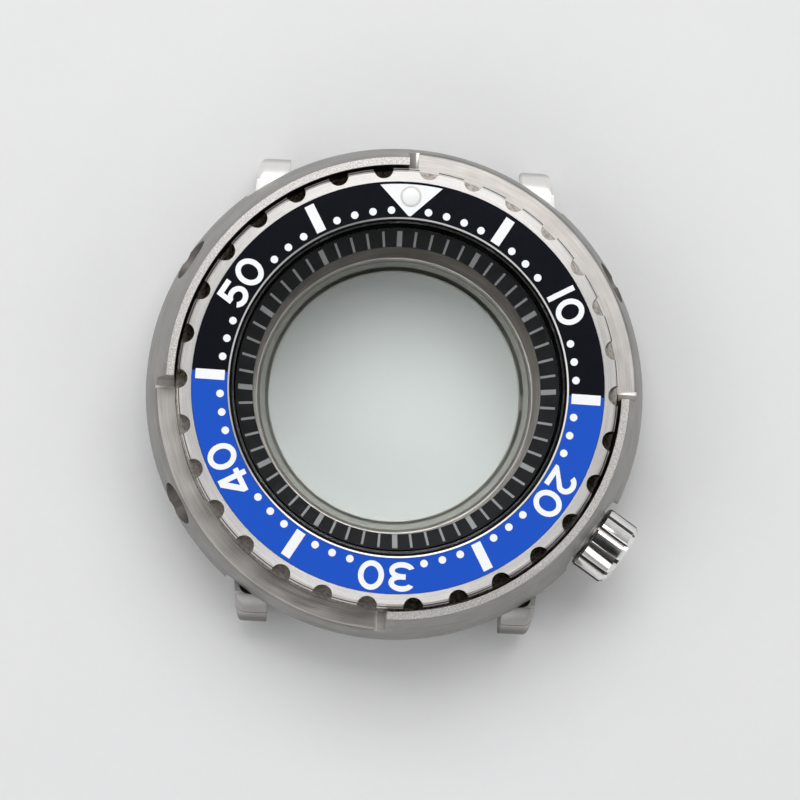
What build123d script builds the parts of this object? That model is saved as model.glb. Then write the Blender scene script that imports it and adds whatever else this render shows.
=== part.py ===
from build123d import *
from math import cos, pi, radians, sin, sqrt
import os

# Empty case of a diver's watch: a round case body with four lugs inside a stepped, can-shaped
# shroud, with a turning bezel, a screw-down crown, a flat crystal and a screwed glass back.
# Millimetres. The origin is the centre of the dial seat, where the movement bore ends.
# +Z goes up through the crystal, +X points to 3 o'clock and +Y to 12 o'clock.

os.makedirs("parts", exist_ok=True)

# Clearances, and the overrun of every cut
overrun = 0.5
snug_gap = 0.01
running_gap = 0.05
seam_gap = 0.05
loose_gap = 0.2

# Movement bore and the ledges above it
movement_radius = 14.35
movement_bore_depth = 4.6
dial_ledge_width = 0.65
chapter_width = 1.6
chapter_height = 1.85
chapter_lip_height = 0.35
gasket_foot_thickness = 0.35

# Crystal
crystal_seat_width = 0.3
crystal_thickness = 3.4
crystal_bevel = 0.2
crystal_gasket_wall = 0.45

# Case body
case_overhang = 0.25
case_flare_width = 2.15
case_flare_height = 2.7
neck_wall = 1.65
neck_height = 1.6
ridge_proud = 0.32
ridge_height = 0.4
ridge_bevel = 0.1
deck_drop = 2.3

# Screwed back
back_thread_ledge = 2.29
back_thread_depth = 2.2
back_thread_spare = 0.35
back_neck_wall = 1.24
back_flange_overlap = 0.2
back_flange_thickness = 1.45
back_bevel = 0.3
back_plate_thickness = 2.4
back_plate_width = 2.3
back_ledge_width = 0.35
back_ledge_thickness = 0.6
back_glass_thickness = 1.4
back_glass_gasket_width = 0.5
back_glass_gasket_height = 1.28
back_seat_bevel = 0.3
tool_slot_count = 6
tool_slot_width = 2.4
tool_slot_reach = 1.0
tool_slot_height = 0.9
back_groove_wall = 0.51
back_gasket_width = 0.5
back_gasket_height = 0.4
back_groove_spare = 0.03

# Lugs and strap bars
lug_gap = 22.0
lug_root_width = 3.94
lug_shoulder_width = 3.05
lug_tip_width = 2.3
lug_root = 11.0
lug_slope = 2.45
lug_end_wall = 2.1
lug_top_drop = 2.3
lug_bottom_rise = 0.6
lug_toe_length = 5.6
lug_toe_back = 1.0
lug_toe_lift = 0.7
lug_top_round = 0.5
lug_tip_round = 0.4
lug_bottom_round = 0.7
lug_side_round = 0.4
lug_pocket_back = 2.55
lug_pocket_side = 0.35
lug_pocket_depth = 1.0
lug_pocket_round = 0.9
strap_bar_hole_radius = 0.6
strap_bar_rise = 0.9
strap_flat_wall = 0.4
strap_room = 1.7

# Shroud
shroud_foot_wall = 2.9
shroud_rim_width = 0.75
shroud_bottom_rise = 3.1
shroud_skirt_bevel = 0.3
shroud_rim_bevel = 0.1
step_drop = 4.3
step_round = 1.0
step_edge_bevel = 0.2
relief_side_gap = 0.06
relief_round = 0.8
crown_notch_gap = 0.8

# Shroud screws, at 2, 10 and 8 o'clock
screw_angles = (30, 150, 210)
screw_rise = 2.3
screw_seat_wall = 0.85
screw_head_radius = 1.75
screw_head_height = 0.95
screw_shank_radius = 0.9
screw_shank_length = 3.2
screw_socket_radius = 0.85
screw_socket_depth = 0.55
screw_counterbore_gap = 0.35
screw_tip_spare = 0.3

# Bezel
bezel_rim_width = 1.29
bezel_float = 0.1
bezel_neck_gap = 0.13
bezel_top_gap = 0.15
bezel_web = 0.6
bezel_edge_bevel = 0.4
bezel_rest_turn = -0.86
scallop_count = 30
scallop_radius = 0.92
scallop_centre_inset = 0.05
scallop_phase = 4.4
lip_width = 0.26
lip_gap = 0.12
bead_proud = 0.35
bead_height = 0.45
bead_drop = 0.15
tooth_count = 60
tooth_inset = 0.3
tooth_length = 1.0
tooth_depth = 0.35
insert_width = 3.25
insert_thickness = 0.95
insert_gap = 0.04
insert_sink = 0.02
glue_thickness = 0.08
glue_inset = 0.3
bezel_gasket_height = 0.5

# Luminous pip
pip_radius = 0.94
pip_wall = 0.13
pip_floor = 0.3
pip_inset = 1.32
pip_proud = 0.08
pip_dome = 0.16

# Click spring
spring_angle = 60
spring_pocket_length = 8.0
spring_side_gap = 0.15
spring_pocket_depth = 1.0
spring_width = 0.9
spring_leaf = 0.2
spring_foot_share = 0.45

# Crown and its tube
crown_angle = -33.2
crown_drop = 2.3
boss_wall = 1.1
boss_proud = 2.05
boss_root_wall = 2.65
tube_stub_wall = 0.2
tube_thread_wall = 0.45
tube_bore_depth = 1.2
tube_inner_gap = 0.6
tube_thread_length = 2.2
crown_wall = 1.4
crown_roof = 1.0
crown_end_bevel = 0.45
crown_heel_bevel = 0.2
crown_thread_pitch = 0.45
crown_turns = 3
crown_face_gap = 0.15
groove_count = 12
groove_width = 0.42
groove_depth = 0.35
hub_wall = 0.23
hub_bore_gap = 0.06
hub_lip = 0.2
hub_start_gap = 0.2
hub_roof = 0.3
washer_thickness = 0.36
washer_gap = 0.04
crown_gasket_room = 0.35
crown_gasket_length = 0.35
stem_radius = 0.45
stem_proud = 0.3
stem_thread_radius = 0.25
stem_thread_depth = 2.5
stem_head_proud = 0.21
stem_head_length = 0.9
spring_wire_radius = 0.09
spring_coils = 2.5
wire_sides = 4

# Heights worked out from the sizes above, with the dial seat at zero
dial_seat = 0.0
thread_roof = dial_seat - movement_bore_depth
case_bottom = thread_roof - back_thread_depth
back_seam = case_bottom - seam_gap
back_face = back_seam - back_flange_thickness
back_thread_length = back_thread_depth - back_thread_spare
crystal_ledge = dial_seat + chapter_height + seam_gap
crystal_bottom = crystal_ledge + gasket_foot_thickness
neck_top = crystal_ledge + neck_height
deck = neck_top - deck_drop
bezel_bottom = deck + bezel_float
web_bottom = neck_top + bezel_top_gap
insert_floor = web_bottom + bezel_web
insert_bottom = insert_floor + glue_thickness
insert_top = insert_bottom + insert_thickness
land = insert_top + insert_sink
step_floor = land - step_drop
shroud_bottom = case_bottom + shroud_bottom_rise
crown_height = dial_seat - crown_drop
lug_top = dial_seat - lug_top_drop
relief_top = lug_top + loose_gap
screw_height = shroud_bottom + screw_rise

# Radii of the turned pieces, worked out from the movement bore outwards
chapter_radius = movement_radius + dial_ledge_width
chapter_inner_radius = chapter_radius - chapter_width
chapter_bore = chapter_radius + running_gap
crystal_radius = chapter_radius + crystal_seat_width
gasket_bore = crystal_radius + crystal_gasket_wall
neck_radius = gasket_bore + neck_wall
ridge_radius = neck_radius + ridge_proud
bezel_bore = ridge_radius + bezel_neck_gap
tooth_inner_radius = bezel_bore + tooth_inset
tooth_outer_radius = tooth_inner_radius + tooth_length
lip_inner_radius = crystal_radius + lip_gap
lip_outer_radius = lip_inner_radius + lip_width
insert_inner_radius = lip_outer_radius + insert_gap
insert_outer_radius = insert_inner_radius + insert_width
insert_recess_radius = insert_outer_radius + insert_gap
pip_place_radius = insert_outer_radius - pip_inset
bezel_radius = insert_recess_radius + bezel_rim_width
case_radius = bezel_radius + case_overhang
case_bottom_radius = case_radius - case_flare_width
shroud_bore = case_radius + running_gap
shroud_rim_radius = shroud_bore + shroud_rim_width
shroud_max_radius = shroud_bore + shroud_foot_wall
skirt_radius = shroud_max_radius - shroud_skirt_bevel
screw_seat_radius = shroud_bore + screw_seat_wall
screw_counterbore_radius = screw_head_radius + screw_counterbore_gap
far_radius = shroud_max_radius + overrun

# Radii of the screwed back
back_thread_radius = movement_radius + back_thread_ledge
thread_bore = back_thread_radius + running_gap
back_gasket_inner_radius = thread_bore + back_groove_wall
back_flange_radius = back_gasket_inner_radius + back_gasket_width + back_flange_overlap
back_neck_bore = back_thread_radius - back_neck_wall
back_glass_seat_radius = back_neck_bore - back_plate_width - back_seat_bevel
back_glass_radius = back_glass_seat_radius - back_glass_gasket_width
back_window_radius = back_glass_radius - back_ledge_width

# Places along the lugs, worked out from the back's flange outwards
strap_flat = back_flange_radius + strap_flat_wall
strap_bar_place = strap_flat + strap_room
strap_bar_height = case_bottom + strap_bar_rise
lug_tip = strap_bar_place + lug_end_wall
lug_shoulder = lug_tip - lug_slope
lug_heel = lug_tip - lug_toe_length
lug_pocket_wall = lug_tip - lug_pocket_back
lug_pocket_width = lug_shoulder_width - lug_pocket_side
relief_half_width = lug_gap / 2 + lug_root_width + relief_side_gap

# Radii of the crown's pieces, worked out from the stem outwards
stem_head_radius = stem_radius + stem_head_proud
hub_bore_radius = stem_head_radius + hub_bore_gap
hub_radius = hub_bore_radius + hub_wall
tube_bore_radius = hub_radius + crown_gasket_room
tube_stub_radius = tube_bore_radius + tube_stub_wall
tube_thread_radius = tube_bore_radius + tube_thread_wall
boss_radius = tube_stub_radius + boss_wall
cavity_radius = tube_thread_radius + running_gap
crown_radius = cavity_radius + crown_wall
crown_notch_radius = crown_radius + crown_notch_gap

# Places along the crown's axis, measured from the centre line
tube_inner_end = movement_radius + tube_inner_gap
stem_inner_end = tube_inner_end - stem_proud
boss_root = movement_radius + boss_root_wall
boss_reach = case_radius + boss_proud
tube_bore_start = boss_reach - tube_bore_depth
tube_outer_end = boss_reach + tube_thread_length
crown_heel = boss_reach + crown_face_gap
cavity_floor = tube_outer_end + washer_gap + washer_thickness
crown_end = cavity_floor + crown_roof


def half_section(points, plane=Plane.XZ):
    """The closed half section of a turned piece, from its corner points."""
    with BuildSketch(plane) as section:
        with BuildLine():
            Polyline(*points, close=True)
        make_face()
    return section.sketch


def ring_section(inner, outer, low, high):
    """The half section of a plain ring."""
    return half_section([(inner, low), (outer, low), (outer, high), (inner, high)])


def edges_at(piece, height):
    """The edges of a piece whose middles lie at this height."""
    return piece.edges().filter_by_position(Axis.Z, height - snug_gap, height + snug_gap)


def facing_out(angle, reach, height):
    """A plane square to the spoke at this angle, facing away from the centre line."""
    spoke = Vector(cos(radians(angle)), sin(radians(angle)), 0)
    across = Vector(-sin(radians(angle)), cos(radians(angle)), 0)
    return Plane(origin=spoke * reach + Vector(0, 0, height), x_dir=across, z_dir=spoke)


def side_view(angle, height=0):
    """The upright plane through the centre line whose first coordinate runs out at this angle."""
    spoke = Vector(cos(radians(angle)), sin(radians(angle)), 0)
    return Plane(origin=(0, 0, height), x_dir=spoke, z_dir=(spoke.Y, -spoke.X, 0))


crown_side = side_view(crown_angle, crown_height)
crown_out = crown_side.x_dir
crown_axis = Axis((0, 0, crown_height), crown_out)


def crown_section(points):
    """The half section of a piece that is turned about the crown's axis."""
    return half_section(points, crown_side)


# Case body: turned barrel and neck, four lugs, a flat between each pair, and a crown boss
ridge_low = neck_top - ridge_bevel - ridge_height
barrel_outline = [
    (0, case_bottom),
    (case_bottom_radius, case_bottom),
    (case_radius, case_bottom + case_flare_height),
    (case_radius, deck),
    (neck_radius, deck),
    (neck_radius, ridge_low),
    (ridge_radius, ridge_low),
    (ridge_radius, ridge_low + ridge_height),
    (neck_radius, neck_top),
    (0, neck_top),
]
bore_outline = [
    (0, case_bottom - overrun),
    (thread_bore, case_bottom - overrun),
    (thread_bore, thread_roof),
    (movement_radius, thread_roof),
    (movement_radius, dial_seat),
    (chapter_bore, dial_seat),
    (chapter_bore, crystal_ledge),
    (gasket_bore, crystal_ledge),
    (gasket_bore, neck_top + overrun),
    (0, neck_top + overrun),
]
back_groove_outline = ring_section(
    back_gasket_inner_radius - back_groove_spare,
    back_gasket_inner_radius + back_gasket_width + back_groove_spare,
    case_bottom - overrun,
    case_bottom + back_gasket_height + back_groove_spare,
)
screw_hole_end = screw_seat_radius - screw_shank_length - screw_tip_spare

with BuildPart() as case_middle:
    # One lug, from its side view, narrowed towards its tip by its plan, then mirrored
    with BuildSketch(Plane.YZ.offset(lug_gap / 2)) as lug_side:
        with BuildLine():
            Polyline(
                (lug_root, case_bottom),
                (lug_heel, case_bottom),
                (lug_tip - lug_toe_back, case_bottom - lug_bottom_rise),
                (lug_tip, case_bottom + lug_toe_lift - lug_bottom_rise),
                (lug_shoulder, lug_top),
                (lug_root, lug_top),
                close=True,
            )
        make_face()
        fillet(lug_side.vertices().sort_by(Axis.X)[-1], lug_tip_round)
        fillet(lug_side.vertices().group_by(Axis.Y)[-1].sort_by(Axis.X)[-1], lug_top_round)
        fillet(lug_side.vertices().group_by(Axis.Y)[0].sort_by(Axis.X)[-1], lug_bottom_round)
    extrude(amount=lug_root_width)
    with BuildSketch(Plane.XY.offset(case_bottom - lug_bottom_rise - overrun)) as lug_plan:
        with BuildLine():
            Polyline(
                (lug_gap / 2, lug_root),
                (lug_gap / 2 + lug_root_width, lug_root),
                (lug_gap / 2 + lug_shoulder_width, lug_shoulder),
                (lug_gap / 2 + lug_tip_width, lug_tip),
                (lug_gap / 2, lug_tip),
                close=True,
            )
        make_face()
        fillet(lug_plan.vertices().group_by(Axis.Y)[-1], lug_side_round)
    extrude(amount=lug_top - case_bottom + lug_bottom_rise + 2 * overrun, mode=Mode.INTERSECT)
    with BuildSketch(Plane.XY.offset(lug_top - lug_pocket_depth)) as pocket:
        with BuildLine():
            Polyline(
                (lug_gap / 2 - overrun, lug_root - overrun),
                (lug_gap / 2 + lug_pocket_width, lug_root - overrun),
                (lug_gap / 2 + lug_pocket_width, lug_pocket_wall),
                (lug_gap / 2 - overrun, lug_pocket_wall),
                close=True,
            )
        make_face()
        fillet(pocket.vertices().sort_by(Axis.X)[-2:].sort_by(Axis.Y)[-1], lug_pocket_round)
    extrude(amount=lug_pocket_depth + overrun, mode=Mode.SUBTRACT)
    mirror(about=Plane.YZ)
    mirror(about=Plane.XZ)
    # The turned barrel, and the boss that the crown tube is pressed into
    revolve(half_section(barrel_outline), axis=Axis.Z)
    with BuildSketch(facing_out(crown_angle, boss_root, crown_height)):
        Circle(boss_radius)
    extrude(amount=boss_reach - boss_root)
    revolve(half_section(bore_outline), axis=Axis.Z, mode=Mode.SUBTRACT)
    revolve(back_groove_outline, axis=Axis.Z, mode=Mode.SUBTRACT)
    # The flats that leave room for the strap
    with BuildSketch(Plane.XY.offset(case_bottom - overrun)):
        with Locations(Plane.XY, Plane.XY.rotated((0, 0, 180))):
            with Locations((0, (strap_flat + far_radius) / 2)):
                Rectangle(lug_gap, far_radius - strap_flat)
    extrude(amount=relief_top - case_bottom + overrun, mode=Mode.SUBTRACT)
    # Strap bar holes, drilled right through each pair of lugs
    with BuildSketch(Plane.YZ):
        with Locations((strap_bar_place, strap_bar_height), (-strap_bar_place, strap_bar_height)):
            Circle(strap_bar_hole_radius)
    extrude(amount=far_radius, both=True, mode=Mode.SUBTRACT)
    # Holes for the crown tube and the shroud screws
    with BuildSketch(facing_out(crown_angle, movement_radius - overrun, crown_height)):
        Circle(tube_stub_radius + snug_gap)
    extrude(amount=boss_reach - movement_radius + 2 * overrun, mode=Mode.SUBTRACT)
    for angle in screw_angles:
        with BuildSketch(facing_out(angle, screw_hole_end, screw_height)):
            Circle(screw_shank_radius + snug_gap)
        extrude(amount=case_radius - screw_hole_end + overrun, mode=Mode.SUBTRACT)
    # Pocket for the click spring, sunk into the deck under the bezel
    spring_centre_radius = (tooth_inner_radius + tooth_outer_radius) / 2
    spring_floor = deck - spring_pocket_depth
    with BuildSketch(Plane.XY.rotated((0, 0, spring_angle)).offset(spring_floor)):
        with Locations((spring_centre_radius, 0)):
            Rectangle(spring_width + 2 * spring_side_gap, spring_pocket_length)
    extrude(amount=spring_pocket_depth + overrun, mode=Mode.SUBTRACT)
case_middle.part.label = "case_middle"
export_step(case_middle.part, "parts/case_middle.step")

# Shroud: a cone outside and a plain bore inside, milled down by one step in two quarters
rim_edge = shroud_rim_radius - shroud_rim_bevel
shroud_outline = [
    (shroud_bore, shroud_bottom),
    (skirt_radius, shroud_bottom),
    (shroud_max_radius, shroud_bottom + shroud_skirt_bevel),
    (shroud_rim_radius, land - shroud_rim_bevel),
    (rim_edge, land),
    (shroud_bore, land),
]
# The block that an end mill clears in one quarter, rounded where the floor meets both ends
with BuildPart() as step_cut:
    with BuildSketch(Plane.XY.offset(step_floor)):
        with Locations((far_radius / 2, far_radius / 2)):
            Rectangle(far_radius, far_radius)
    extrude(amount=step_drop + overrun)
    step_ends = edges_at(step_cut, step_floor)
    fillet(step_ends.group_by(Axis.X)[0] + step_ends.group_by(Axis.Y)[0], step_round)
# The bevel along the outer edge of the step's floor, between its rounded ends
cone_rise = land - shroud_rim_bevel - shroud_bottom - shroud_skirt_bevel
cone_share = (land - shroud_rim_bevel - step_floor) / cone_rise
floor_radius = shroud_rim_radius + (shroud_max_radius - shroud_rim_radius) * cone_share
floor_end_angle = step_round / floor_radius * 180 / pi
bevel_points = [
    (floor_radius - step_edge_bevel, step_floor),
    (floor_radius + step_edge_bevel, step_floor),
    (floor_radius + step_edge_bevel, step_floor - 2 * step_edge_bevel),
]
with BuildPart() as floor_bevel:
    revolve(
        half_section(bevel_points, side_view(floor_end_angle)),
        axis=Axis.Z,
        revolution_arc=90 - 2 * floor_end_angle,
    )
with BuildPart() as shroud:
    revolve(half_section(shroud_outline), axis=Axis.Z)
    with PolarLocations(0, 2):
        add(step_cut.part, mode=Mode.SUBTRACT)
        add(floor_bevel.part, mode=Mode.SUBTRACT)
    # The skirt is raised over both pairs of lugs
    relief_height = relief_top - shroud_bottom
    with BuildSketch(Plane.XZ) as relief:
        with Locations((0, relief_top - (relief_height + overrun) / 2)):
            Rectangle(2 * relief_half_width, relief_height + overrun)
        fillet(relief.vertices().group_by(Axis.Y)[-1], relief_round)
    extrude(amount=far_radius, both=True, mode=Mode.SUBTRACT)
    # The notch that the crown stands in, open below to the relief over the nearer lug
    relief_end = sqrt(shroud_max_radius**2 - relief_half_width**2)
    notch_reach = relief_end * cos(radians(crown_angle)) + relief_half_width * sin(radians(crown_angle))
    notch_plane = facing_out(crown_angle, case_radius - overrun, crown_height)
    with BuildSketch(notch_plane):
        Circle(crown_notch_radius)
        with Locations((0, -crown_notch_radius)):
            Rectangle(2 * crown_notch_radius, 2 * crown_notch_radius)
        with Locations((-notch_reach / 2, relief_top - crown_height - crown_notch_radius)):
            Rectangle(notch_reach, 2 * crown_notch_radius)
    extrude(amount=far_radius - case_radius + overrun, mode=Mode.SUBTRACT)
    # Counterbored screw holes
    for angle in screw_angles:
        with Locations(facing_out(angle, far_radius, screw_height)):
            CounterBoreHole(
                radius=screw_shank_radius + loose_gap,
                counter_bore_radius=screw_counterbore_radius,
                counter_bore_depth=far_radius - screw_seat_radius,
                depth=far_radius - case_radius + overrun,
            )
shroud.part.label = "shroud"
export_step(shroud.part, "parts/shroud.step")

# Shroud screws: cylinder heads with a hexagon socket, driven in along the spokes
with BuildPart() as shroud_screws:
    for angle in screw_angles:
        seat = facing_out(angle, screw_seat_radius, screw_height)
        with BuildSketch(seat):
            Circle(screw_head_radius)
        extrude(amount=screw_head_height)
        with BuildSketch(seat.offset(screw_head_height)):
            RegularPolygon(screw_socket_radius, 6)
        extrude(amount=-screw_socket_depth, mode=Mode.SUBTRACT)
        with BuildSketch(seat):
            Circle(screw_shank_radius)
        extrude(amount=-screw_shank_length)
shroud_screws.part.label = "shroud_screws"
export_step(shroud_screws.part, "parts/shroud_screws.step")

# Chapter ring: a cone that falls from the crystal to the dial
with BuildPart() as chapter_ring:
    revolve(
        half_section(
            [
                (chapter_inner_radius, dial_seat),
                (chapter_radius, dial_seat),
                (chapter_radius, dial_seat + chapter_height),
                (chapter_inner_radius, dial_seat + chapter_lip_height),
            ]
        ),
        axis=Axis.Z,
    )
chapter_ring.part.label = "chapter_ring"
export_step(chapter_ring.part, "parts/chapter_ring.step")

# Crystal: a flat disc with a bevelled edge
crystal_top = crystal_bottom + crystal_thickness
with BuildPart() as crystal:
    revolve(
        half_section(
            [
                (0, crystal_bottom),
                (crystal_radius, crystal_bottom),
                (crystal_radius, crystal_top - crystal_bevel),
                (crystal_radius - crystal_bevel, crystal_top),
                (0, crystal_top),
            ]
        ),
        axis=Axis.Z,
    )
crystal.part.label = "crystal"
export_step(crystal.part, "parts/crystal.step")

# Crystal gasket: a wall round the crystal, with a foot under its edge
with BuildPart() as crystal_gasket:
    revolve(
        half_section(
            [
                (chapter_bore, crystal_ledge),
                (gasket_bore - snug_gap, crystal_ledge),
                (gasket_bore - snug_gap, neck_top),
                (crystal_radius + snug_gap, neck_top),
                (crystal_radius + snug_gap, crystal_bottom),
                (chapter_bore, crystal_bottom),
            ]
        ),
        axis=Axis.Z,
    )
crystal_gasket.part.label = "crystal_gasket"
export_step(crystal_gasket.part, "parts/crystal_gasket.step")

# Bezel gasket: a ring in the corner between the neck and the deck
with BuildPart() as bezel_gasket:
    revolve(
        ring_section(
            neck_radius + snug_gap,
            bezel_bore - running_gap,
            deck,
            deck + bezel_gasket_height,
        ),
        axis=Axis.Z,
    )
bezel_gasket.part.label = "bezel_gasket"
export_step(bezel_gasket.part, "parts/bezel_gasket.step")

# Bezel: a skirt round the neck, a web over it and a recess for the insert, with scallops
# milled down its edge, a snap bead under the neck's ridge, and ratchet teeth underneath
bead_top = ridge_low - bead_drop
bezel_outline = [
    (bezel_bore, bezel_bottom),
    (bezel_radius, bezel_bottom),
    (bezel_radius, land - bezel_edge_bevel),
    (bezel_radius - bezel_edge_bevel, land),
    (insert_recess_radius, land),
    (insert_recess_radius, insert_floor),
    (lip_outer_radius, insert_floor),
    (lip_outer_radius, land),
    (lip_inner_radius, land),
    (lip_inner_radius, web_bottom),
    (bezel_bore, web_bottom),
    (bezel_bore, bead_top),
    (bezel_bore - bead_proud, bead_top - bead_height / 2),
    (bezel_bore, bead_top - bead_height),
]
tooth_pitch = 360 / tooth_count
tooth_width = 2 * pi * tooth_inner_radius / tooth_count
# The hollow between two teeth: one upright face, and one ramp that climbs over the next tooth
with BuildPart() as tooth_gap:
    with BuildSketch(Plane.YZ.offset(tooth_inner_radius)):
        with BuildLine():
            Polyline(
                (0, bezel_bottom - tooth_depth),
                (0, bezel_bottom + tooth_depth),
                (tooth_width, bezel_bottom),
                (tooth_width, bezel_bottom - tooth_depth),
                close=True,
            )
        make_face()
    extrude(amount=tooth_outer_radius - tooth_inner_radius)

with BuildPart() as bezel_ring:
    revolve(half_section(bezel_outline), axis=Axis.Z)
    with BuildSketch(Plane.XY.offset(bezel_bottom - overrun)):
        with PolarLocations(
            bezel_radius - scallop_centre_inset,
            scallop_count,
            start_angle=90 + bezel_rest_turn - scallop_phase,
        ):
            Circle(scallop_radius)
    extrude(amount=land - bezel_bottom + 2 * overrun, mode=Mode.SUBTRACT)
    with PolarLocations(0, tooth_count, start_angle=bezel_rest_turn):
        add(tooth_gap.part, mode=Mode.SUBTRACT)
bezel_ring.part.label = "bezel_ring"
export_step(bezel_ring.part, "parts/bezel_ring.step")

# Insert: a flat ring with a hole for the pip, held in the recess by a ring of glue
pip_plane = Plane.XY.rotated((0, 0, 90 + bezel_rest_turn))
with BuildPart() as bezel_insert:
    revolve(
        ring_section(insert_inner_radius, insert_outer_radius, insert_bottom, insert_top),
        axis=Axis.Z,
    )
    with BuildSketch(pip_plane.offset(insert_bottom - overrun)):
        with Locations((pip_place_radius, 0)):
            Circle(pip_radius + snug_gap)
    extrude(amount=insert_thickness + 2 * overrun, mode=Mode.SUBTRACT)
bezel_insert.part.label = "bezel_insert"
export_step(bezel_insert.part, "parts/bezel_insert.step")

with BuildPart() as insert_glue:
    revolve(
        ring_section(
            insert_inner_radius + glue_inset,
            insert_outer_radius - glue_inset,
            insert_floor,
            insert_bottom,
        ),
        axis=Axis.Z,
    )
insert_glue.part.label = "insert_glue"
export_step(insert_glue.part, "parts/insert_glue.step")

# Pip: a metal cup pressed into the insert, filled with luminous paint that stands up in a dome
cup_top = insert_top + pip_proud
with BuildPart() as pip_cup:
    with BuildSketch(pip_plane.offset(insert_bottom)):
        with Locations((pip_place_radius, 0)):
            Circle(pip_radius)
    extrude(amount=cup_top - insert_bottom)
    with BuildSketch(pip_plane.offset(insert_bottom + pip_floor)):
        with Locations((pip_place_radius, 0)):
            Circle(pip_radius - pip_wall)
    extrude(amount=cup_top - insert_bottom, mode=Mode.SUBTRACT)
pip_cup.part.label = "pip_cup"
export_step(pip_cup.part, "parts/pip_cup.step")

lume_radius = pip_radius - pip_wall - snug_gap
pip_side = Plane(
    origin=pip_plane.from_local_coords(Vector(pip_place_radius, 0, 0)),
    x_dir=pip_plane.x_dir,
    z_dir=-pip_plane.y_dir,
)
with BuildPart() as pip_lume:
    with BuildSketch(pip_side):
        with BuildLine():
            Line((0, cup_top + pip_dome), (0, insert_bottom + pip_floor))
            Line((0, insert_bottom + pip_floor), (lume_radius, insert_bottom + pip_floor))
            Line((lume_radius, insert_bottom + pip_floor), (lume_radius, cup_top))
            RadiusArc(
                (lume_radius, cup_top),
                (0, cup_top + pip_dome),
                -(lume_radius**2 + pip_dome**2) / (2 * pip_dome),
            )
        make_face()
    revolve(axis=Axis(pip_side.origin, (0, 0, 1)))
pip_lume.part.label = "pip_lume"
export_step(pip_lume.part, "parts/pip_lume.step")

# Click spring: a flat leaf in its pocket, bent up so that its tip stands in a tooth gap
spring_plane = Plane(
    origin=facing_out(spring_angle, spring_centre_radius - spring_width / 2, 0).origin,
    x_dir=facing_out(spring_angle, 0, 0).x_dir,
    z_dir=facing_out(spring_angle, 0, 0).z_dir,
)
tooth_turns_to_spring = round((spring_angle - bezel_rest_turn) / tooth_pitch)
gap_angle = tooth_turns_to_spring * tooth_pitch + bezel_rest_turn - spring_angle
tip_place = spring_centre_radius * sin(radians(gap_angle)) + running_gap
tip_height = bezel_bottom + tooth_depth / 2
spring_end = running_gap - spring_pocket_length / 2
spring_bend = spring_end + (tip_place - spring_end) * spring_foot_share
with BuildPart() as click_spring:
    with BuildSketch(spring_plane):
        with BuildLine():
            Polyline(
                (spring_end, spring_floor),
                (spring_bend, spring_floor),
                (tip_place + spring_leaf, bezel_bottom - 2 * spring_leaf),
                (tip_place + spring_leaf, tip_height),
                (tip_place, tip_height),
                (tip_place, bezel_bottom - spring_leaf),
                (spring_bend, spring_floor + spring_leaf),
                (spring_end, spring_floor + spring_leaf),
                close=True,
            )
        make_face()
    extrude(amount=spring_width)
click_spring.part.label = "click_spring"
export_step(click_spring.part, "parts/click_spring.step")

# Screwed back: a flange, a threaded neck, a plate and a ledge for the glass
back_plate_top = back_face + back_plate_thickness
back_outline = [
    (back_window_radius, back_face),
    (back_flange_radius - back_bevel, back_face),
    (back_flange_radius, back_face + back_bevel),
    (back_flange_radius, back_seam),
    (back_thread_radius, back_seam),
    (back_thread_radius, back_seam + back_thread_length),
    (back_neck_bore, back_seam + back_thread_length),
    (back_neck_bore, back_plate_top),
    (back_glass_seat_radius + back_seat_bevel, back_plate_top),
    (back_glass_seat_radius, back_plate_top - back_seat_bevel),
    (back_glass_seat_radius, back_face + back_ledge_thickness),
    (back_window_radius, back_face + back_ledge_thickness),
]
with BuildPart() as caseback:
    revolve(half_section(back_outline), axis=Axis.Z)
    with BuildSketch(Plane.XY.offset(back_face - overrun)):
        with PolarLocations(back_flange_radius, tool_slot_count):
            Rectangle(2 * tool_slot_reach, tool_slot_width)
    extrude(amount=tool_slot_height + overrun, mode=Mode.SUBTRACT)
caseback.part.label = "caseback"
export_step(caseback.part, "parts/caseback.step")

glass_bottom = back_face + back_ledge_thickness
with BuildPart() as caseback_glass:
    with BuildSketch(Plane.XY.offset(glass_bottom)):
        Circle(back_glass_radius)
    extrude(amount=back_glass_thickness)
caseback_glass.part.label = "caseback_glass"
export_step(caseback_glass.part, "parts/caseback_glass.step")

with BuildPart() as back_glass_gasket:
    revolve(
        ring_section(
            back_glass_radius + snug_gap,
            back_glass_seat_radius - snug_gap,
            glass_bottom,
            glass_bottom + back_glass_gasket_height,
        ),
        axis=Axis.Z,
    )
back_glass_gasket.part.label = "back_glass_gasket"
export_step(back_glass_gasket.part, "parts/back_glass_gasket.step")

with BuildPart() as caseback_gasket:
    revolve(
        ring_section(
            back_gasket_inner_radius,
            back_gasket_inner_radius + back_gasket_width,
            case_bottom,
            case_bottom + back_gasket_height,
        ),
        axis=Axis.Z,
    )
caseback_gasket.part.label = "caseback_gasket"
export_step(caseback_gasket.part, "parts/caseback_gasket.step")

# Crown tube: a stub pressed into the boss, and a threaded sleeve that the crown screws onto
with BuildPart() as crown_tube:
    revolve(
        crown_section(
            [
                (tube_inner_end, stem_radius + running_gap),
                (tube_inner_end, tube_stub_radius),
                (boss_reach, tube_stub_radius),
                (boss_reach, tube_thread_radius),
                (tube_outer_end, tube_thread_radius),
                (tube_outer_end, tube_bore_radius),
                (tube_bore_start, tube_bore_radius),
                (tube_bore_start, stem_radius + running_gap),
            ]
        ),
        axis=crown_axis,
    )
crown_tube.part.label = "crown_tube"
export_step(crown_tube.part, "parts/crown_tube.step")

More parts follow.
